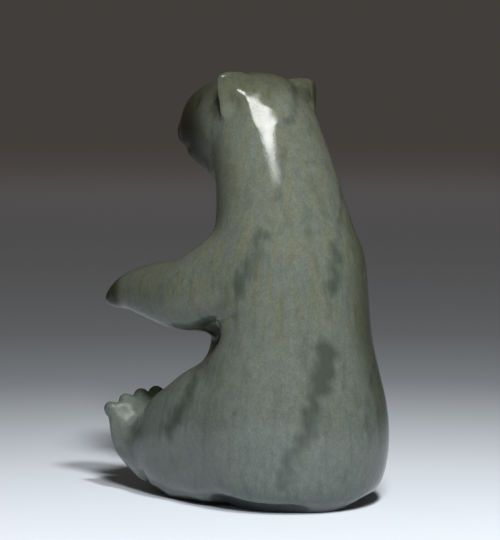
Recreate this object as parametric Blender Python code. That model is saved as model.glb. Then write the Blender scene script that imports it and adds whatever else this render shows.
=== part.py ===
"""A bear sitting upright with its forelegs held out, carved from one block of soapstone.

The bear faces -Y, its left side is +X, and it rests on the floor at z = 0.
HEIGHT is the real height in metres. Every other length is in hundredths of HEIGHT,
so the pose and the proportions keep their shares when the carving is made larger or smaller.
"""

import math

import bmesh
import bpy
import numpy as np
from mathutils import Matrix, Vector

HEIGHT = 0.125
HUNDREDTH = HEIGHT / 100

# How finely the masses are skinned, and how far a joint between two masses is rubbed down.
BODY_GRAIN = 1.0
BODY_SOFTNESS = 1.9
DETAIL_GRAIN = 0.7
DETAIL_SOFTNESS = 0.5
FACES_KEPT = 9200

# Trunk and neck.
RUMP_WIDTH = 48.0
WAIST_WIDTH = 39.0
CHEST_WIDTH = 33.0
NECK_WIDTH = 28.5
TRUNK_DEPTH_SHARE = 0.95
RUMP_BACK = 1.0

# Head.
SKULL_CENTRE = (0.0, -10.0, 87.0)
SKULL_RADII = (13.0, 14.0, 12.6)
MUZZLE_LENGTH = 31.0
MUZZLE_DEPTH = 17.5
EAR_SPREAD = 20.4
LEFT_EAR_WIDTH = 8.8
LEFT_EAR_LIFT = 2.4
RIGHT_EAR_WIDTH = 10.4
RIGHT_EAR_LIFT = 0.9

# Forelegs.
SHOULDER = (12.0, 0.0, 55.0)
ARM_REACH = 43.8
ARM_SPLAY = 9.0

# Hind legs.
HIP = (13.0, 1.0, 15.0)
FOOT_CENTRE = (15.3, -37.0, 13.0)
FOOT_WIDTH = 22.0
FOOT_HEIGHT = 22.5
TOES = 5

# Where the left back of the head is filed flat: the place from the skull's centre, and how far around.
HEAD_FLATS = (
    ((10.0, 5.5, 9.0), 2.1),
    ((9.1, 7.3, 7.2), 1.8),
    ((8.0, 8.5, 6.0), 2.6),
    ((7.7, 9.5, 4.4), 2.5),
    ((7.2, 10.9, 2.2), 2.8),
)
FLATS_FACE = (0.46, 0.77, 0.44)


def metres(point):
    """A point or length given in hundredths of the height."""
    return Vector(point) * HUNDREDTH


def soapstone():
    material = bpy.data.materials.new("soapstone")
    material.use_nodes = True
    shader = material.node_tree.nodes["Principled BSDF"]
    shader.inputs["Base Color"].default_value = (0.165, 0.19, 0.15, 1.0)
    shader.inputs["Roughness"].default_value = 0.3
    shader.inputs["Metallic"].default_value = 0.0
    return material


def smooth_path(stations, steps=5):
    """The stations with points of a smooth curve between them, which passes through each."""
    rows = np.array(stations, float)
    before, after = 2 * rows[0] - rows[1], 2 * rows[-1] - rows[-2]
    padded = np.vstack([before, rows, after])
    path = []
    for a, b, c, d in zip(padded, padded[1:], padded[2:], padded[3:]):
        for t in np.arange(steps) / steps:
            bend = (2 * a - 5 * b + 4 * c - d) * t**2 + (3 * b - a - 3 * c + d) * t**3
            path.append(b + 0.5 * ((c - a) * t + bend))
    path.append(rows[-1])
    return np.array(path)


def add_loft(clay, stations, side=(1, 0, 0), along=None, sides=32):
    """A closed tube with domed ends. A station is (x, y, z, half width, half height).

    The rings stand square to the path, or square to `along` where it is given.
    """
    path = smooth_path(stations)
    centres, sizes = path[:, :3], path[:, 3:]
    tangents = np.gradient(centres, axis=0) if along is None else [along] * len(centres)
    rings = []

    def add_ring(centre, size, tangent):
        along = Vector(tangent).normalized()
        across = (Vector(side) - Vector(side).dot(along) * along).normalized()
        up = along.cross(across)
        ring = []
        for k in range(sides):
            turn = 2 * math.pi * k / sides
            point = Vector(centre) + across * size[0] * math.cos(turn) + up * size[1] * math.sin(turn)
            ring.append(clay.verts.new(metres(point)))
        rings.append(ring)

    def add_dome(end, sign):
        angles = [math.radians(a) for a in (25, 50, 72, 85)]
        for angle in angles if sign > 0 else reversed(angles):
            rise = math.sin(angle) * min(sizes[end]) * sign
            along = Vector(tangents[end]).normalized()
            add_ring(Vector(centres[end]) + along * rise, sizes[end] * math.cos(angle), tangents[end])

    add_dome(0, -1)
    for centre, size, tangent in zip(centres, sizes, tangents):
        add_ring(centre, size, tangent)
    add_dome(-1, 1)
    for low, high in zip(rings, rings[1:]):
        for k in range(sides):
            n = (k + 1) % sides
            clay.faces.new((low[k], low[n], high[n], high[k]))
    clay.faces.new(reversed(rings[0]))
    clay.faces.new(rings[-1])


def add_ball(clay, centre, radii):
    """An ellipsoid."""
    place = Matrix.Translation(metres(centre)) @ Matrix.Diagonal((*metres(radii), 1))
    bmesh.ops.create_icosphere(clay, subdivisions=4, radius=1, matrix=place)


def add_trunk(clay):
    d = TRUNK_DEPTH_SHARE
    sections = (
        (0.0, RUMP_BACK + 2.0, 0.60 * RUMP_WIDTH),
        (1.5, RUMP_BACK + 1.7, 0.75 * RUMP_WIDTH),
        (4.0, RUMP_BACK + 1.0, 0.87 * RUMP_WIDTH),
        (8.0, RUMP_BACK + 0.3, 0.955 * RUMP_WIDTH),
        (15.0, RUMP_BACK, RUMP_WIDTH),
        (23.0, RUMP_BACK, 0.975 * RUMP_WIDTH),
        (31.0, RUMP_BACK + 0.5, 0.885 * RUMP_WIDTH),
        (39.0, RUMP_BACK + 0.5, WAIST_WIDTH),
        (50.0, RUMP_BACK, 0.965 * WAIST_WIDTH),
        (58.0, 0.7, 0.93 * WAIST_WIDTH),
        (66.0, -1.2, 0.98 * CHEST_WIDTH),
        (73.0, -3.0, 0.49 * (CHEST_WIDTH + NECK_WIDTH)),
        (80.0, -5.6, NECK_WIDTH),
        (87.0, -7.7, 0.91 * NECK_WIDTH),
    )
    add_loft(clay, [(0, y, z, width / 2, d * width / 2) for z, y, width in sections], along=(0, 0, 1))


def add_head(clay):
    x, y, z = SKULL_CENTRE
    reach = MUZZLE_LENGTH
    deep = MUZZLE_DEPTH / 2
    add_ball(clay, SKULL_CENTRE, SKULL_RADII)
    crown = [
        (-4.6, y + 1.0, z + 6.5, 9.0, 6.0),
        (0.0, y + 1.0, z + 7.1, 10.5, 6.6),
        (5.0, y + 1.0, z + 7.4, 9.0, 6.3),
    ]
    add_loft(clay, crown, side=(0, 1, 0))
    add_ball(clay, (x, y - 4.5, z - 8.0), (10.5, 12.5, 6.5))
    for side in (1, -1):
        add_ball(clay, (side * 6.6, y - 4.0, z - 0.5), (6.4, 6.5, 8.0))
    muzzle = [
        (x, y - 0.05 * reach, z, 12.6, 12.4),
        (x, y - 0.25 * reach, z + 0.3, 12.2, 12.3),
        (x, y - 0.45 * reach, z + 0.4, 10.4, 1.36 * deep),
        (x, y - 0.68 * reach, z + 0.2, 8.0, 1.21 * deep),
        (x, y - 0.84 * reach, z - 0.5, 6.2, 0.99 * deep),
        (x, y - 0.94 * reach, z - 1.0, 4.6, 0.62 * deep),
    ]
    add_loft(clay, muzzle)


def add_ear(clay, side):
    """An upright flap behind the cheek, square at its outer corner."""
    x, y, z = EAR_SPREAD / 2, SKULL_CENTRE[1] + 2.6, SKULL_CENTRE[2]
    wide = (LEFT_EAR_WIDTH if side > 0 else RIGHT_EAR_WIDTH) / 2
    lift = LEFT_EAR_LIFT if side > 0 else RIGHT_EAR_LIFT
    flap = [
        (x + 0.4, y, z + 1.5, 0.36 * wide, 1.6),
        (x + 0.3, y, z + 4.5, 0.66 * wide, 1.9),
        (x - 0.2, y - 0.1, z + 7.5 + 0.5 * lift, 0.89 * wide, 2.0),
        (x - 0.6, y - 0.3, z + 10.0 + lift, wide, 1.6),
    ]
    stations = [(side * a, b, c, w, h) for a, b, c, w, h in flap]
    add_loft(clay, stations, side=(1, -0.2 * side, 0), along=(0, 0, 1))
    add_ball(clay, (side * (x - 1.2), y + 0.9, z + 8.8), (2.8, 2.4, 3.0))


def add_arm(clay, side):
    x, y, z = SHOULDER
    reach, splay = ARM_REACH, ARM_SPLAY
    stations = [
        (x, y, z, 7.0, 12.5),
        (x + 0.40 * splay, y - 0.27 * reach, z - 5.0, 7.3, 9.7),
        (x + 0.55 * splay, y - 0.42 * reach, z - 6.6, 7.0, 8.8),
        (x + 0.72 * splay, y - 0.60 * reach, z - 6.4, 6.6, 7.3),
        (x + 0.88 * splay, y - 0.78 * reach, z - 6.6, 5.9, 5.2),
        (x + 0.98 * splay, y - 0.90 * reach, z - 8.3, 4.9, 3.2),
        (x + 1.00 * splay, y - 0.97 * reach, z - 9.5, 3.4, 1.6),
    ]
    add_loft(clay, [(side * a, b, c, w, h) for a, b, c, w, h in stations])


def add_leg(clay, side):
    x, y, z = HIP
    fx, fy, fz = FOOT_CENTRE
    thigh = [
        (x - 0.5, y - 2.0, z + 4.5, 11.5, 15.5),
        (x + 1.5, y - 10.0, z + 3.4, 10.2, 14.8),
        (x + 3.4, y - 18.0, z - 0.3, 9.0, 13.6),
        (x + 4.0, y - 24.0, z - 2.5, 8.2, 12.6),
        (fx + 0.8, fy + 8.0, z - 4.6, 8.0, 9.8),
        (fx + 0.8, fy + 4.0, z - 4.2, 8.2, 8.4),
    ]
    calf = [
        (x + 2.4, y - 2.0, 8.5, 7.6, 8.2),
        (x + 2.7, y - 10.0, 7.4, 7.8, 7.4),
        (x + 3.2, y - 16.0, 6.4, 6.8, 6.6),
        (x + 3.5, y - 22.0, 5.8, 5.8, 6.4),
        (x + 2.5, y - 26.5, 6.0, 4.4, 6.0),
    ]
    for stations in (thigh, calf):
        add_loft(clay, [(side * a, b, c, w, h) for a, b, c, w, h in stations])
    wide, tall = FOOT_WIDTH / 2, FOOT_HEIGHT / 2
    sole = [
        (fx - 0.6, fy + 1.5, fz - 0.44 * tall, 0.70 * wide, 3.6),
        (fx - 0.4, fy + 0.5, fz - 0.26 * tall, 0.90 * wide, 4.0),
        (fx + 0.1, fy, fz + 0.10 * tall, 0.94 * wide, 4.2),
        (fx + 0.2, fy - 0.4, fz + 0.42 * tall, 0.97 * wide, 3.6),
        (fx + 0.1, fy - 0.6, fz + 0.62 * tall, 0.87 * wide, 2.7),
    ]
    add_loft(clay, [(side * a, b, c, w, h) for a, b, c, w, h in sole])


def add_toes(clay, side):
    fx, fy, fz = FOOT_CENTRE
    for k in range(TOES):
        share = 2 * k / (TOES - 1) - 1
        x = fx + 0.5 + share * 0.39 * FOOT_WIDTH
        z = fz + FOOT_HEIGHT * (0.390 - 0.037 * share - 0.06 * share**2)
        add_ball(clay, (side * x, fy - 1.9, z), (2.1 - 0.5 * share, 2.3, 2.5 - 0.4 * share))


def read_surface(shape):
    """The places of a mesh's points in hundredths, and their normals."""
    points = np.empty(3 * len(shape.vertices))
    normals = np.empty_like(points)
    shape.vertices.foreach_get("co", points)
    shape.vertex_normals.foreach_get("vector", normals)
    return points.reshape(-1, 3) / HUNDREDTH, normals.reshape(-1, 3)


def move_surface(shape, points):
    shape.vertices.foreach_set("co", (points * HUNDREDTH).ravel())
    shape.update()


def stroke_strength(points, normals, stroke, facing, width):
    """How strongly a round tool led along a stroke touches each point, from 0 to 1.

    It touches only what looks toward `facing`, and reaches a little further in that direction.
    """
    towards = np.array(Vector(facing).normalized())
    nearest = np.full(len(points), np.inf)
    for start, end in zip(stroke, stroke[1:]):
        start, run = np.array(start, float), np.subtract(end, start)
        share = np.clip((points - start) @ run / (run @ run), 0, 1)
        offset = points - start - share[:, None] * run
        along = offset @ towards
        nearest = np.minimum(nearest, (offset**2).sum(axis=1) - 0.7 * along**2)
    return np.exp(-nearest / width**2) * np.clip(2 * normals @ towards, 0, 1)


def carve(shape, stroke, facing, width, depth):
    """Push a rounded tool into the surface along a stroke, or draw it out where the depth is below zero."""
    points, normals = read_surface(shape)
    strength = stroke_strength(points, normals, stroke, facing, width)
    move_surface(shape, points - depth * strength[:, None] * np.array(Vector(facing).normalized()))


def carve_body(shape, side):
    """The hollow under the elbow, and the one that lifts the rump's edge off the floor."""
    x, y, z = SHOULDER
    hollow = [(side * (x + 5.5), y - 4, z - 15), (side * (x + 4), y - 8, z - 18)]
    carve(shape, hollow, (side, 0.2, -0.2), 2.8, 3.0)
    arch = [(side * 18.0, 0, 0), (side * 16.5, 5, 0), (side * 13, 10, 0), (side * 9, 14, 0)]
    carve(shape, arch, (side * 0.3, 0.2, -1), 3.8, 2.0)


def carve_elbow(shape, side):
    """The crease over the hollow, where the foreleg meets the flank."""
    x, y, z = SHOULDER
    crease = [
        (side * (x + 7.0), y + 4.4, z - 10.3),
        (side * (x + 6.5), y + 1.4, z - 11.0),
        (side * (x + 6.0), y - 3.3, z - 12.0),
        (side * (x + 5.3), y - 8.5, z - 13.2),
    ]
    carve(shape, crease, (side * 0.85, 0.45, -0.3), 1.1, 1.1)
    hollow = [(side * (x + 5.0), y - 2.0, z - 14.4), (side * (x + 3.6), y - 5.5, z - 17.6)]
    carve(shape, hollow, (side * 0.8, 0.5, 0), 2.0, 1.8)


def carve_face(shape, side):
    """An eye, a nostril, half of the mouth and the hollow of an ear."""
    x, y, z = SKULL_CENTRE
    eye = (side * 7.6, y - 14.5, z + 6.0)
    carve(shape, [eye, eye[:1] + (y - 15.5, z + 5.8)], (side, -0.9, 0.3), 1.5, 0.9)
    nostril = [(side * 1.5, y - 31.5, z + 1.6), (side * 2.3, y - 31.0, z + 1.0)]
    carve(shape, nostril, (side * 0.3, -1, 0), 0.7, 0.8)
    mouth = [
        (0.0, y - 31, z - 4.2),
        (side * 3.5, y - 30, z - 4.6),
        (side * 5.6, y - 26, z - 5.0),
        (side * 7.2, y - 21, z - 4.4),
    ]
    carve(shape, mouth, (side * 0.8, -1, -0.1), 0.75, 0.8)
    hollow = [(side * 11.4, y + 0.5, z + 6.5), (side * 11.4, y + 0.5, z + 10.0)]
    carve(shape, hollow, (side * 0.3, -1, 0), 1.7, 1.5)


def file_flat(shape, centre, facing, radius):
    """Rub the surface around a point toward the plane that passes through it and looks toward `facing`."""
    points, normals = read_surface(shape)
    towards = np.array(Vector(facing).normalized())
    offset = points - np.array(centre)
    above = offset @ towards
    strength = np.exp(-(offset**2).sum(axis=1) / radius**2) * np.clip(2 * normals @ towards, 0, 1)
    move_surface(shape, points - (above * strength)[:, None] * towards)


def carve_back(shape):
    """The slope down the back of the head, the flats by the left ear, and the easy line of the left back."""
    y, z = SKULL_CENTRE[1:]
    for side in (1, -1):
        slope = [(side * 9.5, y + 8.0, z + 9.5), (side * 6.5, y + 10.8, z + 8.0)]
        carve(shape, slope, (side * 0.5, 0.8, 0.3), 6.5, 1.3)
    for place, radius in HEAD_FLATS:
        file_flat(shape, Vector(SKULL_CENTRE) + Vector(place), FLATS_FACE, radius)
    carve(shape, [(10.0, 14.5, 58.0), (11.0, 15.0, 54.0)], (0.57, 0.82, 0), 8.0, 0.6)
    carve(shape, [(18.0, 12.0, 13.0), (12.0, 17.0, 13.0)], (0.57, 0.82, 0), 8.0, 0.9)
    carve(shape, [(18.0, 11.0, 29.0), (12.0, 16.0, 29.0)], (0.57, 0.82, 0), 7.0, -0.5)


def carve_foot(shape, side):
    """The flat on the instep, the notch before the heel, and the grooves between the toes."""
    fx, fy, fz = FOOT_CENTRE
    instep = (side * (fx + 7.4), fy + 1.2, fz + 6.6)
    file_flat(shape, instep, (side * FLATS_FACE[0], *FLATS_FACE[1:]), 2.2)
    heel = [(side * (fx + 7.7), fy + 9.5, fz - 8.2), (side * (fx + 3.7), fy + 7.5, fz - 11.0)]
    carve(shape, heel, (side * 0.5, -0.5, -0.7), 1.2, 1.0)
    for k in range(TOES - 1):
        share = (2 * k + 1) / (TOES - 1) - 1
        x = side * (fx + 0.5 + share * 0.39 * FOOT_WIDTH)
        top = fz + FOOT_HEIGHT * (0.46 - 0.05 * share - 0.06 * share**2)
        for facing, y, depth in ((-1, fy - 4.0, 0.6), (1, fy + 2.5, 0.2)):
            carve(shape, [(x, y, top), (x, y, top - 3.0)], (0, facing, 0.2), 0.75, depth)


def skin(clay, name, grain, softness):
    """One closed surface around all the masses, with the joints between them rubbed down."""
    mesh = bpy.data.meshes.new(name)
    clay.to_mesh(mesh)
    clay.free()
    lump = bpy.data.objects.new(name, mesh)
    bpy.context.collection.objects.link(lump)
    remesh = lump.modifiers.new("skin", "REMESH")
    remesh.mode = "VOXEL"
    remesh.voxel_size = grain * HUNDREDTH
    smooth = lump.modifiers.new("rub down", "SMOOTH")
    smooth.factor = 0.5
    smooth.iterations = round((2 * softness / grain) ** 2)
    bpy.context.view_layer.update()
    shape = bpy.data.meshes.new_from_object(lump.evaluated_get(bpy.context.evaluated_depsgraph_get()))
    bpy.data.objects.remove(lump)
    return shape


def thin(shape, faces_kept):
    """The same surface with fewer faces."""
    lump = bpy.data.objects.new("thinned", shape)
    bpy.context.collection.objects.link(lump)
    fewer = lump.modifiers.new("fewer faces", "DECIMATE")
    fewer.ratio = faces_kept / (2 * len(shape.polygons))
    bpy.context.view_layer.update()
    thinned = bpy.data.meshes.new_from_object(lump.evaluated_get(bpy.context.evaluated_depsgraph_get()))
    bpy.data.objects.remove(lump)
    return thinned


def flatten_base(shape):
    """Saw off everything below the floor, close the cuts flat and centre the block on the origin."""
    block = bmesh.new()
    block.from_mesh(shape)
    whole = block.verts[:] + block.edges[:] + block.faces[:]
    down = (0, 0, -1)
    cut = bmesh.ops.bisect_plane(block, geom=whole, plane_co=(0, 0, 0), plane_no=down, clear_outer=True)
    rim = [part for part in cut["geom_cut"] if isinstance(part, bmesh.types.BMEdge)]
    bmesh.ops.edgeloop_fill(block, edges=rim)
    bmesh.ops.triangulate(block, faces=block.faces)
    bmesh.ops.recalc_face_normals(block, faces=block.faces)
    points = np.array([vert.co for vert in block.verts])
    middle = (points.min(axis=0) + points.max(axis=0)) / 2
    bmesh.ops.translate(block, verts=block.verts, vec=(-middle[0], -middle[1], 0))
    block.to_mesh(shape)
    block.free()


def main():
    for old in list(bpy.data.objects):
        bpy.data.objects.remove(old)
    clay = bmesh.new()
    add_trunk(clay)
    add_head(clay)
    for side in (1, -1):
        add_arm(clay, side)
        add_leg(clay, side)
    body = skin(clay, "body", BODY_GRAIN, BODY_SOFTNESS)
    for side in (1, -1):
        carve_body(body, side)
    clay = bmesh.new()
    clay.from_mesh(body)
    for side in (1, -1):
        add_ear(clay, side)
        add_toes(clay, side)
    shape = skin(clay, "bear", DETAIL_GRAIN, DETAIL_SOFTNESS)
    for side in (1, -1):
        carve_face(shape, side)
        carve_foot(shape, side)
        carve_elbow(shape, side)
    carve_back(shape)
    shape = thin(shape, FACES_KEPT)
    flatten_base(shape)
    bear = bpy.data.objects.new("bear", shape)
    bpy.context.collection.objects.link(bear)
    bear.data.materials.append(soapstone())
    return bear


main()
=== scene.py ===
"""The looks of the soapstone bear: the finely carved surface, the polished stone and the table it sits on.

The bear faces -Y, its left side is +X, and it rests on the floor at z = 0.
HEIGHT is the real height in metres, and the other lengths are in hundredths of it, as in the part's source,
whose masses and tool strokes are repeated here with a finer grain and finer strokes.
"""

import math

import bmesh
import bpy
import numpy as np
from mathutils import Matrix, Quaternion, Vector


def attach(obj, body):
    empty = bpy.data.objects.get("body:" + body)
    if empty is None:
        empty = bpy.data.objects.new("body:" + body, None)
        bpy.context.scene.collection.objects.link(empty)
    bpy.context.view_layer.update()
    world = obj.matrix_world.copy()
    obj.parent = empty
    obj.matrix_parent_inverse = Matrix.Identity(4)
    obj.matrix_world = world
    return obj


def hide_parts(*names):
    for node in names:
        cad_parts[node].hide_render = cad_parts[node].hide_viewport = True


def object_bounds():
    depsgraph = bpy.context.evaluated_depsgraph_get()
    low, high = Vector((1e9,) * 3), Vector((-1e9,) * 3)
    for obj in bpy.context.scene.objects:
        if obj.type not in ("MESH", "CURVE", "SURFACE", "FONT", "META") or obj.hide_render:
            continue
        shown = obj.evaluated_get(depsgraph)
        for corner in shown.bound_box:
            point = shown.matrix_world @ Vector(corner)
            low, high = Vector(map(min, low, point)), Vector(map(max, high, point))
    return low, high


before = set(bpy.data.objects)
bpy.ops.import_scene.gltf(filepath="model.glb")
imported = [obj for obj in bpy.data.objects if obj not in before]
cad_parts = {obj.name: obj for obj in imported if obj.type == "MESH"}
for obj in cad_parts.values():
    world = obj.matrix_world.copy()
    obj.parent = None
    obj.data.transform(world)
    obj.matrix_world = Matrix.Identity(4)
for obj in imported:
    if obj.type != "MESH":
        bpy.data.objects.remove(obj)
cad_low, cad_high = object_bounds()

HEIGHT = 0.125
HUNDREDTH = HEIGHT / 100

# How finely the masses are skinned, how far a joint between two masses is rubbed down,
# and how often the carved surface is rubbed over.
BODY_GRAIN = 0.9
BODY_SOFTNESS = 1.9
DETAIL_GRAIN = 0.53
DETAIL_SOFTNESS = 0.5
RUBBINGS = 3

# Trunk and neck.
RUMP_WIDTH = 48.0
WAIST_WIDTH = 39.0
CHEST_WIDTH = 33.0
NECK_WIDTH = 28.5
TRUNK_DEPTH_SHARE = 0.95
RUMP_BACK = 1.0

# Head.
SKULL_CENTRE = (0.0, -10.0, 87.0)
SKULL_RADII = (13.0, 14.0, 12.6)
MUZZLE_LENGTH = 31.0
MUZZLE_DEPTH = 17.5
EAR_SPREAD = 20.4
LEFT_EAR_WIDTH = 8.8
LEFT_EAR_LIFT = 2.4
RIGHT_EAR_WIDTH = 10.4
RIGHT_EAR_LIFT = 0.9

# Forelegs.
SHOULDER = (12.0, 0.0, 55.0)
ARM_REACH = 43.8
ARM_SPLAY = 9.0

# Hind legs.
HIP = (13.0, 1.0, 15.0)
FOOT_CENTRE = (15.3, -37.0, 13.0)
FOOT_WIDTH = 22.0
FOOT_HEIGHT = 22.5
TOES = 5

# Where the left back of the head is filed flat: the place from the skull's centre, and how far around.
# The flats on the insteps look the same way.
HEAD_FLATS = (
    ((10.0, 5.5, 9.0), 2.1),
    ((9.1, 7.3, 7.2), 1.8),
    ((8.0, 8.5, 6.0), 2.6),
    ((7.7, 9.5, 4.4), 2.5),
    ((7.2, 10.9, 2.2), 2.8),
)
FLATS_FACE = (0.46, 0.77, 0.44)

# The dark veins of the stone, and strokes of painted shade laid the same way: how wide, how strong, and the
# points they run through.
VEINS_AND_SHADE_STROKES = (
    (3.0, 0.65, ((13.1, 8.8, 63.7), (14.6, 8.6, 60.8), (15.9, 8.5, 57.2), (17.4, 7.0, 51.2))),
    (1.7, 0.6, ((-10.7, 6.2, 74.2), (-8.3, 10.0, 70.2), (-5.6, 13.2, 65.6), (-2.6, 16.6, 60.1))),
    (2.4, 0.75, ((-2.6, 16.6, 60.1), (-1.0, 18.1, 55.7), (0.7, 18.4, 51.7))),
    (1.8, 0.5, ((-13.0, 7.0, 76.0), (-13.5, 10.0, 62.0), (-13.8, 13.2, 50.0), (-11.7, 16.0, 39.8))),
    (3.5, 0.95, ((3.2, 19.8, 37.2), (4.2, 20.3, 34.5), (5.3, 21.1, 30.1))),
    (2.9, 0.75, ((5.3, 21.1, 30.1), (6.8, 21.7, 25.7), (8.7, 21.5, 21.5), (10.5, 20.6, 17.2))),
    (2.6, 0.6, ((10.5, 20.6, 17.2), (12.3, 19.2, 12.1), (14.2, 17.2, 7.0))),
    (1.7, 0.6, ((-4.5, -4.3, 98.0), (-0.6, 1.5, 93.0), (1.3, 3.5, 89.2))),
    (1.6, 0.55, ((4.4, 5.5, 83.3), (6.1, 6.7, 79.4), (8.5, 7.8, 74.7), (9.8, 8.1, 72.0))),
    # A dark vein down the left thigh, partly the painted shadow of the left foreleg.
    (2.9, 0.8, ((17.8, -9.5, 32.8), (21.2, -6.8, 29.5), (23.0, -6.5, 26.0), (24.9, -11.8, 16.7))),
    (3.4, 0.6, ((22.8, -30.6, 16.6), (24.5, -25.3, 14.7), (24.4, -28.9, 9.7))),
    (2.1, 0.5, ((-13.2, 16.3, 33.7), (-9.1, 20.3, 27.9), (-6.0, 22.7, 19.6))),
    # Partly darker stone, partly the painted shadow of the left foreleg, on the inner toe of the left foot.
    (2.4, 1.0, ((14.2, -37.0, 24.2), (11.0, -37.5, 23.6))),
    # Painted shade in the hollow under the left elbow.
    (2.6, 1.2, ((17.2, -2.2, 41.0), (15.6, -5.8, 37.4))),
    # Painted shade in the groove under the right ear.
    (1.3, 0.6, ((-6.6, -5.4, 98.0), (-9.5, -4.8, 96.5), (-12.3, -5.8, 94.0))),
    (3.0, 0.8, ((-18.0, -14.0, 56.0), (-19.5, -18.0, 50.0), (-20.0, -22.0, 45.0))),
    (3.0, 0.8, ((-21.0, 0.0, 36.0), (-24.0, -3.0, 24.0), (-24.5, -8.0, 12.0))),
    (2.6, 0.7, ((-7.0, -19.0, 58.0), (-3.0, -21.0, 44.0), (0.0, -22.0, 30.0))),
)

# Where the carving is coloured darker: a middle, the reach along each axis, and the share of light it keeps.
# All but the right side are painted shade; the right side is darker stone with painted shade over it.
SHADE_AND_DARK_STONE_ZONES = (
    # Painted shade over the face.
    ((0.0, -35.0, 81.0), (18.0, 20.0, 21.0), 0.17),
    # Painted shade over the top of the head.
    ((0.0, -12.0, 99.5), (18.0, 13.0, 8.5), 0.60),
    # The right side: darker stone, with painted shade over it.
    ((-18.0, 12.0, 42.0), (13.0, 14.0, 34.0), 0.58),
    # Painted shade on the end of the left paw.
    ((25.5, -39.0, 47.5), (5.0, 5.5, 6.0), 0.30),
    # Painted shade on the end of the right paw.
    ((-25.5, -39.0, 47.5), (5.0, 5.5, 6.0), 0.45),
    # Lighter painted shade along the front half of the left foreleg.
    ((20.0, -28.0, 50.0), (7.0, 12.0, 9.0), 0.78),
    # Partly darker stone, partly the painted shadow of the left foreleg, on the inner toe of the left foot.
    ((12.0, -38.0, 24.0), (4.0, 6.0, 6.0), 0.35),
    # Painted shade on the outer edge of the right ear.
    ((-14.2, -8.0, 94.5), (2.2, 3.0, 4.5), 0.35),
    # Painted shade in the hollow under the left elbow.
    ((15.6, -6.5, 38.5), (4.5, 5.5, 4.5), 0.20),
    # Painted shade on the left of the throat, under the jaw.
    ((14.5, -8.0, 74.0), (6.0, 8.0, 9.0), 0.84),
)

# Where the polish is duller, where there is none, and how far around.
DULL_SPOTS = (
    ((22.4, -35.4, 19.4), 5.5),
    ((-22.4, -35.4, 19.4), 5.5),
)
UNPOLISHED_SPOTS = (
    ((6.7, -3.1, 96.6), 2.1),
    ((3.5, 1.6, 91.4), 2.0),
    ((10.9, -6.7, 97.7), 1.5),
)

# The stone's colours, from the foot of the carving to its top, bluer towards the foot as painted bounce
# light from the pale table, and what runs through it.
STONE_AND_BOUNCE_BY_HEIGHT = (
    (0.18, (0.093, 0.110, 0.099)),
    (0.36, (0.093, 0.108, 0.094)),
    (0.52, (0.094, 0.106, 0.089)),
    (1.0, (0.094, 0.105, 0.086)),
)
OLIVE = (0.104, 0.104, 0.050)
# The colour of the veins and of the strokes of painted shade.
VEIN_AND_SHADE_COLOUR = (0.036, 0.045, 0.038)

# The polish: roughness from its best to its worst places and how much the duller ones add,
# how strongly the stone mirrors where it is painted darkest with shade and where it is lightest, and the
# relief of the grain.
BEST_POLISH = 0.10
WORST_POLISH = 0.19
ADDED_DULLNESS = 0.24
DARK_GLOSS = 0.05
LIGHT_GLOSS = 0.36
GRAIN_STRENGTH = 0.25
GRAIN_DEPTH = 0.08

# The photograph's camera: where it stands, and where the middle of the rump lies in the picture.
PICTURE_WIDTH = 500
PICTURE_HEIGHT = 540
CAMERA_AZIMUTH = math.radians(145)
CAMERA_DISTANCE = 630.0
CAMERA_HEIGHT = 102.0
PIXELS_PER_HUNDREDTH = 4.3
RUMP_MIDDLE_X = 287
RUMP_FOOT_Y = 502
RUMP_MIDDLE_BEFORE_BACK = 23.6
SENSOR = 36.0

# The table top: how near it comes to the camera, and its colour at distances from the middle
# of the light pool, which is painted light: pale near the middle, shaded further off and pale again far
# away.
TABLE_RADIUS = 1600.0
TABLE_NEAR_EDGE = 230.0
PAINTED_POOL_BEFORE_RUMP = 60.0
TABLE_SIDES = 256
TONE_REACH = 3000.0
TABLE_PAINTED_LIGHT = (
    (30.0, (0.66, 0.71, 0.77)),
    (75.0, (0.69, 0.74, 0.80)),
    (120.0, (0.69, 0.74, 0.80)),
    (190.0, (0.60, 0.64, 0.69)),
    (310.0, (0.38, 0.41, 0.44)),
    (470.0, (0.35, 0.37, 0.39)),
    (915.0, (0.55, 0.57, 0.60)),
    (1600.0, (0.82, 0.82, 0.86)),
    (2290.0, (0.90, 0.88, 0.89)),
    (2900.0, (0.98, 0.93, 0.90)),
)

# The lights: turn from the camera to the picture's right and rise, in degrees, seen from their target,
# then width and length, power in watts, and whether the polished stone only mirrors it.
LIGHT_DISTANCE = 500.0
LIGHT_TARGET_HEIGHT = 80.0
LIGHTS = (
    ("window", 4.0, 53.0, 172.0, 166.0, 2.8, True),
    ("key", 15.5, 47.0, 60.0, 60.0, 3.45, False),
    ("front", 5.5, 29.0, 90.0, 90.0, 3.5, False),
)
FAR_LIGHT_BEHIND = 1400.0
FAR_LIGHT_HEIGHT = 700.0
FAR_LIGHT_SIZE = 900.0
FAR_LIGHT_POWER = 0.27
ROOM_COLOUR = (0.0545, 0.0482, 0.0437)


def metres(point):
    """A point or length given in hundredths of the height."""
    return Vector(point) * HUNDREDTH


def smooth_path(stations, steps=5):
    """The stations with points of a smooth curve between them, which passes through each."""
    rows = np.array(stations, float)
    before, after = 2 * rows[0] - rows[1], 2 * rows[-1] - rows[-2]
    padded = np.vstack([before, rows, after])
    path = []
    for a, b, c, d in zip(padded, padded[1:], padded[2:], padded[3:]):
        for t in np.arange(steps) / steps:
            bend = (2 * a - 5 * b + 4 * c - d) * t**2 + (3 * b - a - 3 * c + d) * t**3
            path.append(b + 0.5 * ((c - a) * t + bend))
    path.append(rows[-1])
    return np.array(path)


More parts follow.
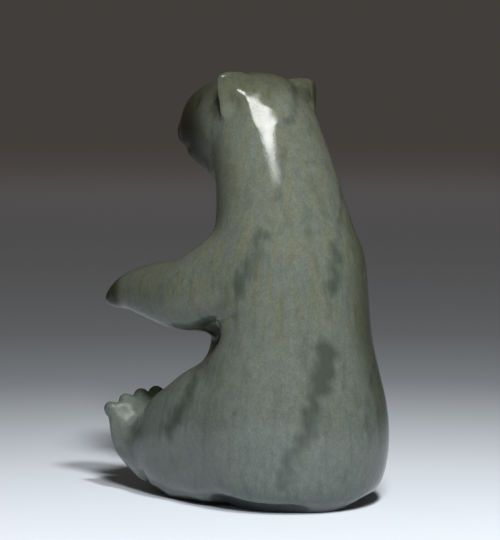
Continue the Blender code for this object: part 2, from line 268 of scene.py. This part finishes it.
def add_loft(clay, stations, side=(1, 0, 0), along=None, sides=48):
    """A closed tube with domed ends. A station is (x, y, z, half width, half height).

    The rings stand square to the path, or square to `along` where it is given.
    """
    path = smooth_path(stations)
    centres, sizes = path[:, :3], path[:, 3:]
    tangents = np.gradient(centres, axis=0) if along is None else [along] * len(centres)
    rings = []

    def add_ring(centre, size, tangent):
        along = Vector(tangent).normalized()
        across = (Vector(side) - Vector(side).dot(along) * along).normalized()
        up = along.cross(across)
        ring = []
        for k in range(sides):
            turn = 2 * math.pi * k / sides
            point = Vector(centre) + across * size[0] * math.cos(turn) + up * size[1] * math.sin(turn)
            ring.append(clay.verts.new(metres(point)))
        rings.append(ring)

    def add_dome(end, sign):
        angles = [math.radians(a) for a in (25, 50, 72, 85)]
        for angle in angles if sign > 0 else reversed(angles):
            rise = math.sin(angle) * min(sizes[end]) * sign
            along = Vector(tangents[end]).normalized()
            add_ring(Vector(centres[end]) + along * rise, sizes[end] * math.cos(angle), tangents[end])

    add_dome(0, -1)
    for centre, size, tangent in zip(centres, sizes, tangents):
        add_ring(centre, size, tangent)
    add_dome(-1, 1)
    for low, high in zip(rings, rings[1:]):
        for k in range(sides):
            n = (k + 1) % sides
            clay.faces.new((low[k], low[n], high[n], high[k]))
    clay.faces.new(reversed(rings[0]))
    clay.faces.new(rings[-1])


def add_ball(clay, centre, radii):
    """An ellipsoid."""
    place = Matrix.Translation(metres(centre)) @ Matrix.Diagonal((*metres(radii), 1))
    bmesh.ops.create_icosphere(clay, subdivisions=5, radius=1, matrix=place)


def add_trunk(clay):
    d = TRUNK_DEPTH_SHARE
    sections = (
        (0.0, RUMP_BACK + 2.0, 0.60 * RUMP_WIDTH),
        (1.5, RUMP_BACK + 1.7, 0.75 * RUMP_WIDTH),
        (4.0, RUMP_BACK + 1.0, 0.87 * RUMP_WIDTH),
        (8.0, RUMP_BACK + 0.3, 0.955 * RUMP_WIDTH),
        (15.0, RUMP_BACK, RUMP_WIDTH),
        (23.0, RUMP_BACK, 0.975 * RUMP_WIDTH),
        (31.0, RUMP_BACK + 0.5, 0.885 * RUMP_WIDTH),
        (39.0, RUMP_BACK + 0.5, WAIST_WIDTH),
        (50.0, RUMP_BACK, 0.965 * WAIST_WIDTH),
        (58.0, 0.7, 0.93 * WAIST_WIDTH),
        (66.0, -1.2, 0.98 * CHEST_WIDTH),
        (73.0, -3.0, 0.49 * (CHEST_WIDTH + NECK_WIDTH)),
        (80.0, -5.6, NECK_WIDTH),
        (87.0, -7.7, 0.91 * NECK_WIDTH),
    )
    add_loft(clay, [(0, y, z, width / 2, d * width / 2) for z, y, width in sections], along=(0, 0, 1))


def add_head(clay):
    x, y, z = SKULL_CENTRE
    reach = MUZZLE_LENGTH
    deep = MUZZLE_DEPTH / 2
    add_ball(clay, SKULL_CENTRE, SKULL_RADII)
    crown = [
        (-4.6, y + 1.0, z + 6.5, 9.0, 6.0),
        (0.0, y + 1.0, z + 7.1, 10.5, 6.6),
        (5.0, y + 1.0, z + 7.4, 9.0, 6.3),
    ]
    add_loft(clay, crown, side=(0, 1, 0))
    add_ball(clay, (x, y - 4.5, z - 8.0), (10.5, 12.5, 6.5))
    for side in (1, -1):
        add_ball(clay, (side * 6.6, y - 4.0, z - 0.5), (6.4, 6.5, 8.0))
    muzzle = [
        (x, y - 0.05 * reach, z, 12.6, 12.4),
        (x, y - 0.25 * reach, z + 0.3, 12.2, 12.3),
        (x, y - 0.45 * reach, z + 0.4, 10.4, 1.36 * deep),
        (x, y - 0.68 * reach, z + 0.2, 8.0, 1.21 * deep),
        (x, y - 0.84 * reach, z - 0.5, 6.2, 0.99 * deep),
        (x, y - 0.94 * reach, z - 1.0, 4.6, 0.62 * deep),
    ]
    add_loft(clay, muzzle)


def add_ear(clay, side):
    """An upright flap behind the cheek, square at its outer corner."""
    x, y, z = EAR_SPREAD / 2, SKULL_CENTRE[1] + 2.6, SKULL_CENTRE[2]
    wide = (LEFT_EAR_WIDTH if side > 0 else RIGHT_EAR_WIDTH) / 2
    lift = LEFT_EAR_LIFT if side > 0 else RIGHT_EAR_LIFT
    flap = [
        (x + 0.4, y, z + 1.5, 0.36 * wide, 1.6),
        (x + 0.3, y, z + 4.5, 0.66 * wide, 1.9),
        (x - 0.2, y - 0.1, z + 7.5 + 0.5 * lift, 0.89 * wide, 2.0),
        (x - 0.6, y - 0.3, z + 10.0 + lift, wide, 1.6),
    ]
    stations = [(side * a, b, c, w, h) for a, b, c, w, h in flap]
    add_loft(clay, stations, side=(1, -0.2 * side, 0), along=(0, 0, 1))
    add_ball(clay, (side * (x - 1.2), y + 0.9, z + 8.8), (2.8, 2.4, 3.0))


def add_arm(clay, side):
    x, y, z = SHOULDER
    reach, splay = ARM_REACH, ARM_SPLAY
    stations = [
        (x, y, z, 7.0, 12.5),
        (x + 0.40 * splay, y - 0.27 * reach, z - 5.0, 7.3, 9.7),
        (x + 0.55 * splay, y - 0.42 * reach, z - 6.6, 7.0, 8.8),
        (x + 0.72 * splay, y - 0.60 * reach, z - 6.4, 6.6, 7.3),
        (x + 0.88 * splay, y - 0.78 * reach, z - 6.6, 5.9, 5.2),
        (x + 0.98 * splay, y - 0.90 * reach, z - 8.3, 4.9, 3.2),
        (x + 1.00 * splay, y - 0.97 * reach, z - 9.5, 3.4, 1.6),
    ]
    add_loft(clay, [(side * a, b, c, w, h) for a, b, c, w, h in stations])


def add_leg(clay, side):
    x, y, z = HIP
    fx, fy, fz = FOOT_CENTRE
    thigh = [
        (x - 0.5, y - 2.0, z + 4.5, 11.5, 15.5),
        (x + 1.5, y - 10.0, z + 3.4, 10.2, 14.8),
        (x + 3.4, y - 18.0, z - 0.3, 9.0, 13.6),
        (x + 4.0, y - 24.0, z - 2.5, 8.2, 12.6),
        (fx + 0.8, fy + 8.0, z - 4.6, 8.0, 9.8),
        (fx + 0.8, fy + 4.0, z - 4.2, 8.2, 8.4),
    ]
    calf = [
        (x + 2.4, y - 2.0, 8.5, 7.6, 8.2),
        (x + 2.7, y - 10.0, 7.4, 7.8, 7.4),
        (x + 3.2, y - 16.0, 6.4, 6.8, 6.6),
        (x + 3.5, y - 22.0, 5.8, 5.8, 6.4),
        (x + 2.5, y - 26.5, 6.0, 4.4, 6.0),
    ]
    for stations in (thigh, calf):
        add_loft(clay, [(side * a, b, c, w, h) for a, b, c, w, h in stations])
    wide, tall = FOOT_WIDTH / 2, FOOT_HEIGHT / 2
    sole = [
        (fx - 0.6, fy + 1.5, fz - 0.44 * tall, 0.70 * wide, 3.6),
        (fx - 0.4, fy + 0.5, fz - 0.26 * tall, 0.90 * wide, 4.0),
        (fx + 0.1, fy, fz + 0.10 * tall, 0.94 * wide, 4.2),
        (fx + 0.2, fy - 0.4, fz + 0.42 * tall, 0.97 * wide, 3.6),
        (fx + 0.1, fy - 0.6, fz + 0.62 * tall, 0.87 * wide, 2.7),
    ]
    add_loft(clay, [(side * a, b, c, w, h) for a, b, c, w, h in sole])


def add_toes(clay, side):
    fx, fy, fz = FOOT_CENTRE
    for k in range(TOES):
        share = 2 * k / (TOES - 1) - 1
        x = fx + 0.5 + share * 0.39 * FOOT_WIDTH
        z = fz + FOOT_HEIGHT * (0.390 - 0.037 * share - 0.06 * share**2)
        add_ball(clay, (side * x, fy - 1.9, z), (2.1 - 0.5 * share, 2.3, 2.5 - 0.4 * share))


def read_surface(shape):
    """The places of a mesh's points in hundredths, and their normals."""
    points = np.empty(3 * len(shape.vertices))
    normals = np.empty_like(points)
    shape.vertices.foreach_get("co", points)
    shape.vertex_normals.foreach_get("vector", normals)
    return points.reshape(-1, 3) / HUNDREDTH, normals.reshape(-1, 3)


def move_surface(shape, points):
    shape.vertices.foreach_set("co", (points * HUNDREDTH).ravel())
    shape.update()


def stroke_strength(points, normals, stroke, facing, width):
    """How strongly a round tool led along a stroke touches each point, from 0 to 1.

    It touches only what looks toward `facing`, and reaches a little further in that direction.
    """
    towards = np.array(Vector(facing).normalized())
    nearest = np.full(len(points), np.inf)
    for start, end in zip(stroke, stroke[1:]):
        start, run = np.array(start, float), np.subtract(end, start)
        share = np.clip((points - start) @ run / (run @ run), 0, 1)
        offset = points - start - share[:, None] * run
        along = offset @ towards
        nearest = np.minimum(nearest, (offset**2).sum(axis=1) - 0.7 * along**2)
    return np.exp(-nearest / width**2) * np.clip(2 * normals @ towards, 0, 1)


def carve(shape, stroke, facing, width, depth):
    """Push a rounded tool into the surface along a stroke, or draw it out where the depth is below zero."""
    points, normals = read_surface(shape)
    strength = stroke_strength(points, normals, stroke, facing, width)
    move_surface(shape, points - depth * strength[:, None] * np.array(Vector(facing).normalized()))


def carve_body(shape, side):
    """The hollow under the elbow, and the one that lifts the rump's edge off the floor."""
    x, y, z = SHOULDER
    hollow = [(side * (x + 5.5), y - 4, z - 15), (side * (x + 4), y - 8, z - 18)]
    carve(shape, hollow, (side, 0.2, -0.2), 2.8, 3.0)
    arch = [(side * 18.0, 0, 0), (side * 16.5, 5, 0), (side * 13, 10, 0), (side * 9, 14, 0)]
    carve(shape, arch, (side * 0.3, 0.2, -1), 3.8, 2.0)


def carve_elbow(shape, side):
    """The crease over the hollow, where the foreleg meets the flank."""
    x, y, z = SHOULDER
    crease = [
        (side * (x + 7.0), y + 4.4, z - 10.3),
        (side * (x + 6.5), y + 1.4, z - 11.0),
        (side * (x + 6.0), y - 3.3, z - 12.0),
        (side * (x + 5.3), y - 8.5, z - 13.2),
    ]
    carve(shape, crease, (side * 0.85, 0.45, -0.3), 1.1, 1.1)
    hollow = [(side * (x + 5.0), y - 2.0, z - 14.4), (side * (x + 3.6), y - 5.5, z - 17.6)]
    carve(shape, hollow, (side * 0.8, 0.5, 0), 2.0, 1.8)


def carve_face(shape, side):
    """An eye, a nostril, half of the mouth and the hollow of an ear."""
    x, y, z = SKULL_CENTRE
    eye = (side * 7.6, y - 14.5, z + 6.0)
    carve(shape, [eye, eye[:1] + (y - 15.5, z + 5.8)], (side, -0.9, 0.3), 1.5, 0.9)
    nostril = [(side * 1.5, y - 31.5, z + 1.6), (side * 2.3, y - 31.0, z + 1.0)]
    carve(shape, nostril, (side * 0.3, -1, 0), 0.7, 0.8)
    mouth = [
        (0.0, y - 31, z - 4.2),
        (side * 3.5, y - 30, z - 4.6),
        (side * 5.6, y - 26, z - 5.0),
        (side * 7.2, y - 21, z - 4.4),
    ]
    carve(shape, mouth, (side * 0.8, -1, -0.1), 0.75, 0.8)
    hollow = [(side * 11.4, y + 0.5, z + 6.5), (side * 11.4, y + 0.5, z + 10.0)]
    carve(shape, hollow, (side * 0.3, -1, 0), 1.7, 1.5)


def file_flat(shape, centre, facing, radius):
    """Rub the surface around a point toward the plane that passes through it and looks toward `facing`."""
    points, normals = read_surface(shape)
    towards = np.array(Vector(facing).normalized())
    offset = points - np.array(centre)
    above = offset @ towards
    strength = np.exp(-(offset**2).sum(axis=1) / radius**2) * np.clip(2 * normals @ towards, 0, 1)
    move_surface(shape, points - (above * strength)[:, None] * towards)


def carve_back(shape):
    """The slope down the back of the head, the flats by the left ear, and the easy line of the left back."""
    y, z = SKULL_CENTRE[1:]
    for side in (1, -1):
        slope = [(side * 9.5, y + 8.0, z + 9.5), (side * 6.5, y + 10.8, z + 8.0)]
        carve(shape, slope, (side * 0.5, 0.8, 0.3), 6.5, 1.3)
    for place, radius in HEAD_FLATS:
        file_flat(shape, Vector(SKULL_CENTRE) + Vector(place), FLATS_FACE, radius)
    carve(shape, [(10.0, 14.5, 58.0), (11.0, 15.0, 54.0)], (0.57, 0.82, 0), 8.0, 0.6)
    carve(shape, [(18.0, 12.0, 13.0), (12.0, 17.0, 13.0)], (0.57, 0.82, 0), 8.0, 0.9)
    carve(shape, [(18.0, 11.0, 29.0), (12.0, 16.0, 29.0)], (0.57, 0.82, 0), 7.0, -0.5)


def carve_foot(shape, side):
    """The flat on the instep, the notch before the heel, and the grooves between the toes."""
    fx, fy, fz = FOOT_CENTRE
    instep = (side * (fx + 7.4), fy + 1.2, fz + 6.6)
    file_flat(shape, instep, (side * FLATS_FACE[0], *FLATS_FACE[1:]), 2.2)
    heel = [(side * (fx + 7.7), fy + 9.5, fz - 8.2), (side * (fx + 3.7), fy + 7.5, fz - 11.0)]
    carve(shape, heel, (side * 0.5, -0.5, -0.7), 1.2, 1.0)
    for k in range(TOES - 1):
        share = (2 * k + 1) / (TOES - 1) - 1
        x = side * (fx + 0.5 + share * 0.39 * FOOT_WIDTH)
        top = fz + FOOT_HEIGHT * (0.46 - 0.05 * share - 0.06 * share**2)
        for facing, y, depth in ((-1, fy - 4.0, 0.6), (1, fy + 2.5, 0.2)):
            carve(shape, [(x, y, top), (x, y, top - 3.0)], (0, facing, 0.2), 0.75, depth)


def skin(clay, name, grain, softness):
    """One closed surface around all the masses, with the joints between them rubbed down."""
    mesh = bpy.data.meshes.new(name)
    clay.to_mesh(mesh)
    clay.free()
    lump = bpy.data.objects.new(name, mesh)
    bpy.context.scene.collection.objects.link(lump)
    remesh = lump.modifiers.new("skin", "REMESH")
    remesh.mode = "VOXEL"
    remesh.voxel_size = grain * HUNDREDTH
    smooth = lump.modifiers.new("rub down", "SMOOTH")
    smooth.factor = 0.5
    smooth.iterations = round((2 * softness / grain) ** 2)
    bpy.context.view_layer.update()
    shape = bpy.data.meshes.new_from_object(lump.evaluated_get(bpy.context.evaluated_depsgraph_get()))
    bpy.data.objects.remove(lump)
    return shape


def flatten_base(shape):
    """Rub the surface over, saw off what is below the floor, close the cut and centre the block."""
    block = bmesh.new()
    block.from_mesh(shape)
    for _ in range(RUBBINGS):
        bmesh.ops.smooth_vert(
            block, verts=block.verts, factor=0.5, use_axis_x=True, use_axis_y=True, use_axis_z=True
        )
    whole = block.verts[:] + block.edges[:] + block.faces[:]
    down = (0, 0, -1)
    cut = bmesh.ops.bisect_plane(block, geom=whole, plane_co=(0, 0, 0), plane_no=down, clear_outer=True)
    rim = [part for part in cut["geom_cut"] if isinstance(part, bmesh.types.BMEdge)]
    bmesh.ops.edgeloop_fill(block, edges=rim)
    bmesh.ops.triangulate(block, faces=block.faces)
    bmesh.ops.recalc_face_normals(block, faces=block.faces)
    points = np.array([vert.co for vert in block.verts])
    middle = (points.min(axis=0) + points.max(axis=0)) / 2
    bmesh.ops.translate(block, verts=block.verts, vec=(-middle[0], -middle[1], 0))
    block.to_mesh(shape)
    block.free()


def carved_bear():
    clay = bmesh.new()
    add_trunk(clay)
    add_head(clay)
    for side in (1, -1):
        add_arm(clay, side)
        add_leg(clay, side)
    body = skin(clay, "body", BODY_GRAIN, BODY_SOFTNESS)
    for side in (1, -1):
        carve_body(body, side)
    clay = bmesh.new()
    clay.from_mesh(body)
    for side in (1, -1):
        add_ear(clay, side)
        add_toes(clay, side)
    shape = skin(clay, "carved_bear", DETAIL_GRAIN, DETAIL_SOFTNESS)
    for side in (1, -1):
        carve_face(shape, side)
        carve_foot(shape, side)
        carve_elbow(shape, side)
    carve_back(shape)
    stain_and_shade(shape)
    flatten_base(shape)
    shape.shade_smooth()
    bear = bpy.data.objects.new("carved_bear", shape)
    bpy.context.scene.collection.objects.link(bear)
    return bear


def distance_to(points, path):
    """How far each point lies from a path of straight runs."""
    nearest = np.full(len(points), np.inf)
    for start, end in zip(path, path[1:]):
        start, run = np.array(start, float), np.subtract(end, start)
        share = np.clip((points - start) @ run / (run @ run), 0, 1)
        nearest = np.minimum(nearest, np.linalg.norm(points - start - share[:, None] * run, axis=1))
    return nearest


def within_spots(points, spots):
    """How far each point is inside any of the spots, from 0 to 1."""
    inside = np.zeros(len(points))
    for middle, reach in spots:
        inside = np.maximum(inside, np.exp(-((np.linalg.norm(points - middle, axis=1) / reach) ** 4)))
    return inside


def stain_and_shade(shape):
    """Note on every point how strong a vein or a stroke of painted shade is, what light its zone of painted
    shade or darker stone keeps, and how the polish is.
    """
    points = read_surface(shape)[0]
    x, y, z = points.T
    sway = np.sin(0.41 * z + 0.3 * y) + 0.6 * np.sin(1.07 * z - 0.8 * x) + 0.4 * np.sin(1.9 * z + 1.3 * y)
    swayed = points + 0.6 * np.stack([sway, -sway, 0.5 * np.sin(0.9 * x + 0.7 * y)], axis=1)
    vein_and_shade = np.zeros(len(points))
    for width, strength, path in VEINS_AND_SHADE_STROKES:
        vein_and_shade = np.maximum(vein_and_shade, strength * np.exp(-((distance_to(swayed, path) / width) ** 2)))
    share_after_shade_and_stone = np.ones(len(points))
    # Zones of painted shade, and the darker stone of the right side.
    for middle, reach, share in SHADE_AND_DARK_STONE_ZONES:
        away = np.linalg.norm((points - middle) / reach, axis=1)
        share_after_shade_and_stone *= 1 - (1 - share) / (1 + np.exp(9 * (away - 1)))
    notes = {
        "vein_and_shade": vein_and_shade,
        "share_after_shade_and_stone": share_after_shade_and_stone,
        "dull": within_spots(points, DULL_SPOTS),
        "unpolished": within_spots(points, UNPOLISHED_SPOTS),
    }
    for name, values in notes.items():
        shape.attributes.new(name, "FLOAT", "POINT").data.foreach_set("value", values)


def new_material(name):
    material = bpy.data.materials.new(name)
    material.use_nodes = True
    return material, material.node_tree.nodes["Principled BSDF"]


def feed(tree, socket, given):
    """Give a socket another node's output, a number or a colour."""
    if isinstance(given, bpy.types.NodeSocket):
        tree.links.new(given, socket)
    elif isinstance(given, tuple):
        socket.default_value = (*given, 1.0)
    else:
        socket.default_value = given


def mixed(tree, way, factor, below, above):
    mix = tree.nodes.new("ShaderNodeMix")
    mix.data_type = "RGBA"
    mix.blend_type = way
    feed(tree, mix.inputs[0], factor)
    feed(tree, mix.inputs[6], below)
    feed(tree, mix.inputs[7], above)
    return mix.outputs[2]


def reckoned(tree, operation, first, second, clamp=False):
    node = tree.nodes.new("ShaderNodeMath")
    node.operation = operation
    node.use_clamp = clamp
    feed(tree, node.inputs[0], first)
    feed(tree, node.inputs[1], second)
    return node.outputs[0]


def attribute(tree, name):
    node = tree.nodes.new("ShaderNodeAttribute")
    node.attribute_name = name
    return node.outputs["Fac"]


def cloud(tree, place, size, stretch=1.0, detail=3.0, twist=0.0):
    """Noise whose patches are about `size` hundredths wide, and `stretch` times as tall."""
    scale = tree.nodes.new("ShaderNodeMapping")
    across = 1 / (size * HUNDREDTH)
    scale.inputs["Scale"].default_value = (across, across, across / stretch)
    tree.links.new(place, scale.inputs["Vector"])
    noise = tree.nodes.new("ShaderNodeTexNoise")
    noise.inputs["Scale"].default_value = 1.0
    noise.inputs["Detail"].default_value = detail
    noise.inputs["Distortion"].default_value = twist
    tree.links.new(scale.outputs["Vector"], noise.inputs["Vector"])
    return noise.outputs["Fac"]


def grey(level):
    return (level, level, level)


def ramped(tree, source, *stops):
    ramp = tree.nodes.new("ShaderNodeValToRGB")
    fill_ramp(ramp, stops)
    tree.links.new(source, ramp.inputs[0])
    return ramp.outputs["Color"]


def soapstone():
    """Polished grey-green stone with upright olive streaks, dark veins, painted shade in dark zones and
    creases, a foot painted bluer as bounce light, and a fine grain.
    """
    material, shader = new_material("soapstone")
    tree = material.node_tree
    place = tree.nodes.new("ShaderNodeTexCoord").outputs["Object"]
    height = tree.nodes.new("ShaderNodeSeparateXYZ")
    tree.links.new(place, height.inputs[0])

    wavy_height = reckoned(tree, "ADD", height.outputs["Z"], reckoned(
        tree, "MULTIPLY", cloud(tree, place, 14.0, 0.6), 16 * HUNDREDTH))
    level = reckoned(tree, "DIVIDE", wavy_height, HEIGHT, clamp=True)
    # The stone's colour by height, painted bluer towards the foot as bounce light from the table.
    stone = ramped(tree, level, *STONE_AND_BOUNCE_BY_HEIGHT)
    streaks = ramped(
        tree, cloud(tree, place, 2.0, 9.0, 4.0, 0.5),
        (0.42, grey(0.0)), (0.72, grey(1.0)),
    )
    olive_part = reckoned(tree, "MULTIPLY", streaks, ramped(
        tree, level, (0.25, grey(0.05)), (0.60, grey(0.55))))
    stone = mixed(tree, "MIX", olive_part, stone, OLIVE)
    # Upright clouds of darker and lighter stone, placed at random.
    clouding = ramped(
        tree, cloud(tree, place, 2.4, 6.0, 5.0, 0.4),
        (0.30, (0.78, 0.81, 0.81)),
        (0.47, grey(1.0)),
        (0.62, grey(1.0)),
        (0.78, (1.08, 1.09, 1.10)),
    )
    stone = mixed(tree, "MULTIPLY", 1.0, stone, clouding)
    mottle = ramped(
        tree, cloud(tree, place, 1.5, 1.6, 6.0),
        (0.30, grey(0.90)), (0.70, grey(1.09)),
    )
    stone = mixed(tree, "MULTIPLY", 1.0, stone, mottle)
    grain = cloud(tree, place, 0.42, 1.2, 3.0)
    speckle = ramped(tree, grain, (0.30, grey(0.86)), (0.70, grey(1.13)))
    stone = mixed(tree, "MULTIPLY", 1.0, stone, speckle)

    feather = reckoned(tree, "SUBTRACT", cloud(tree, place, 1.8, 5.0, 5.0, 0.6), 0.5)
    # The veins and the strokes of painted shade, frayed by noise.
    vein_and_shade = reckoned(tree, "ADD", attribute(tree, "vein_and_shade"), reckoned(tree, "MULTIPLY", feather, 0.7))
    vein_and_shade = ramped(tree, vein_and_shade, (0.25, grey(0.0)), (0.80, grey(0.85)))
    stone = mixed(tree, "MIX", vein_and_shade, stone, VEIN_AND_SHADE_COLOUR)
    frayed = reckoned(tree, "MULTIPLY", feather, 0.15)
    share_after_shade_and_stone = reckoned(tree, "ADD", attribute(tree, "share_after_shade_and_stone"), frayed, clamp=True)
    # Painted shade and the darker stone darken the colour and turn it more olive; they also mirror less.
    shade_and_stone_tone = ramped(
        tree, share_after_shade_and_stone,
        (0.0, grey(0.0)), (0.35, (0.34, 0.34, 0.22)),
        (0.75, (0.75, 0.75, 0.68)), (1.0, grey(1.0)),
    )
    stone = mixed(tree, "MULTIPLY", 1.0, stone, shade_and_stone_tone)
    gloss = ramped(tree, share_after_shade_and_stone, (0.2, grey(DARK_GLOSS)), (0.7, grey(LIGHT_GLOSS)))
    polished = reckoned(tree, "SUBTRACT", 1.0, attribute(tree, "unpolished"))
    tree.links.new(reckoned(tree, "MULTIPLY", gloss, polished), shader.inputs["Specular IOR Level"])
    tree.links.new(stone, shader.inputs["Base Color"])

    polish = ramped(
        tree, cloud(tree, place, 2.2, 2.0, 4.0),
        (0.3, grey(BEST_POLISH)), (0.7, grey(WORST_POLISH)),
    )
    dullness = reckoned(tree, "MULTIPLY", attribute(tree, "dull"), ADDED_DULLNESS)
    tree.links.new(reckoned(tree, "ADD", polish, dullness), shader.inputs["Roughness"])
    shader.inputs["IOR"].default_value = 1.5
    bump = tree.nodes.new("ShaderNodeBump")
    bump.inputs["Strength"].default_value = GRAIN_STRENGTH
    bump.inputs["Distance"].default_value = GRAIN_DEPTH * HUNDREDTH
    tree.links.new(grain, bump.inputs["Height"])
    tree.links.new(bump.outputs["Normal"], shader.inputs["Normal"])
    return material


def add_camera(rump):
    """The photograph's camera, set out from the middle of the rump."""
    back = camera_axes()[0]
    focal = PIXELS_PER_HUNDREDTH * CAMERA_DISTANCE
    lens = bpy.data.cameras.new("camera")
    lens.sensor_width = SENSOR
    lens.lens = focal * SENSOR / PICTURE_HEIGHT
    lens.clip_start = 0.01
    lens.clip_end = 100
    camera = bpy.data.objects.new("camera", lens)
    bpy.context.scene.collection.objects.link(camera)
    camera.location = rump + metres(back * CAMERA_DISTANCE) + metres((0, 0, CAMERA_HEIGHT))
    drop = math.atan(CAMERA_HEIGHT / CAMERA_DISTANCE) - math.atan((RUMP_FOOT_Y - PICTURE_HEIGHT / 2) / focal)
    swing = math.atan((RUMP_MIDDLE_X - PICTURE_WIDTH / 2) / focal)
    level = (-back).to_track_quat("-Z", "Y")
    camera.rotation_mode = "QUATERNION"
    camera.rotation_quaternion = Quaternion((0, 0, 1), swing) @ level @ Quaternion((1, 0, 0), -drop)
    bpy.context.scene.camera = camera


def add_light(name, place, size, power, target):
    lamp = bpy.data.lights.new(name, "AREA")
    lamp.shape = "ELLIPSE"
    lamp.size = size[0] * HUNDREDTH
    lamp.size_y = size[1] * HUNDREDTH
    lamp.energy = power
    light = bpy.data.objects.new(name, lamp)
    bpy.context.scene.collection.objects.link(light)
    light.location = metres(place)
    light.rotation_mode = "QUATERNION"
    light.rotation_quaternion = metres(Vector(target) - Vector(place)).to_track_quat("-Z", "Y")
    return light


def add_table(rump):
    """A pale table top whose near edge lies between the bear and the camera, toned by distance as painted
    light.
    """
    back = camera_axes()[0]
    mesh = bpy.data.meshes.new("table")
    sheet = bmesh.new()
    bmesh.ops.create_circle(sheet, cap_ends=True, radius=TABLE_RADIUS * HUNDREDTH, segments=TABLE_SIDES)
    sheet.to_mesh(mesh)
    sheet.free()
    table = bpy.data.objects.new("table", mesh)
    bpy.context.scene.collection.objects.link(table)
    table.location = rump + metres(back * (TABLE_NEAR_EDGE - TABLE_RADIUS))
    material, shader = new_material("table")
    nodes, links = material.node_tree.nodes, material.node_tree.links
    place = nodes.new("ShaderNodeNewGeometry")
    from_pool = nodes.new("ShaderNodeVectorMath")
    from_pool.operation = "DISTANCE"
    from_pool.inputs[1].default_value = rump + metres(back * PAINTED_POOL_BEFORE_RUMP)
    links.new(place.outputs["Position"], from_pool.inputs[0])
    share = nodes.new("ShaderNodeMath")
    share.operation = "DIVIDE"
    share.inputs[1].default_value = TONE_REACH * HUNDREDTH
    links.new(from_pool.outputs["Value"], share.inputs[0])
    # A painted pool of light and shade, by distance from the middle of the pool.
    ramp = nodes.new("ShaderNodeValToRGB")
    fill_ramp(ramp, [(distance / TONE_REACH, tone) for distance, tone in TABLE_PAINTED_LIGHT])
    links.new(share.outputs[0], ramp.inputs[0])
    links.new(ramp.outputs["Color"], shader.inputs["Base Color"])
    shader.inputs["Roughness"].default_value = 0.9
    shader.inputs["Specular IOR Level"].default_value = 0.0
    table.data.materials.append(material)


def add_lights():
    """A window that only the polish mirrors, two lights from near it, and a faint one far behind."""
    back, right = camera_axes()
    for name, turn, rise, width, length, power, mirrored in LIGHTS:
        turn, rise = math.radians(turn), math.radians(rise)
        level = back * math.cos(turn) + right * math.sin(turn)
        target = Vector((0, 0, LIGHT_TARGET_HEIGHT))
        place = target + (level * math.cos(rise) + Vector((0, 0, math.sin(rise)))) * LIGHT_DISTANCE
        light = add_light(name, place, (width, length), power, target)
        light.visible_glossy = mirrored
        light.visible_diffuse = not mirrored
    place = Vector((0, 0, FAR_LIGHT_HEIGHT)) - back * FAR_LIGHT_BEHIND
    size = (FAR_LIGHT_SIZE, FAR_LIGHT_SIZE)
    light = add_light("far", place, size, FAR_LIGHT_POWER, place * Vector((1, 1, 0)))
    light.visible_glossy = False


def camera_axes():
    """The level directions toward the camera and to the right of the picture."""
    back = Vector((math.sin(CAMERA_AZIMUTH), -math.cos(CAMERA_AZIMUTH), 0))
    right = Vector((math.cos(CAMERA_AZIMUTH), math.sin(CAMERA_AZIMUTH), 0))
    return back, right


def fill_ramp(ramp, stops):
    """Set a colour ramp's stops, each a position from 0 to 1 and a colour."""
    elements = ramp.color_ramp.elements
    while len(elements) < len(stops):
        elements.new(0.5)
    for element, (position, tone) in zip(elements, stops):
        element.position = position
        element.color = (*tone, 1.0)


bear = carved_bear()
bear.data.materials.append(soapstone())
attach(bear, "root")
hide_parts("bear")

rump = Vector((0, cad_high.y - RUMP_MIDDLE_BEFORE_BACK * HUNDREDTH, 0))
add_camera(rump)
add_table(rump)
add_lights()

world = bpy.data.worlds.new("room")
bpy.context.scene.world = world
world.use_nodes = True
world.node_tree.nodes["Background"].inputs["Color"].default_value = (*ROOM_COLOUR, 1)
bpy.context.scene.view_settings.view_transform = "Standard"
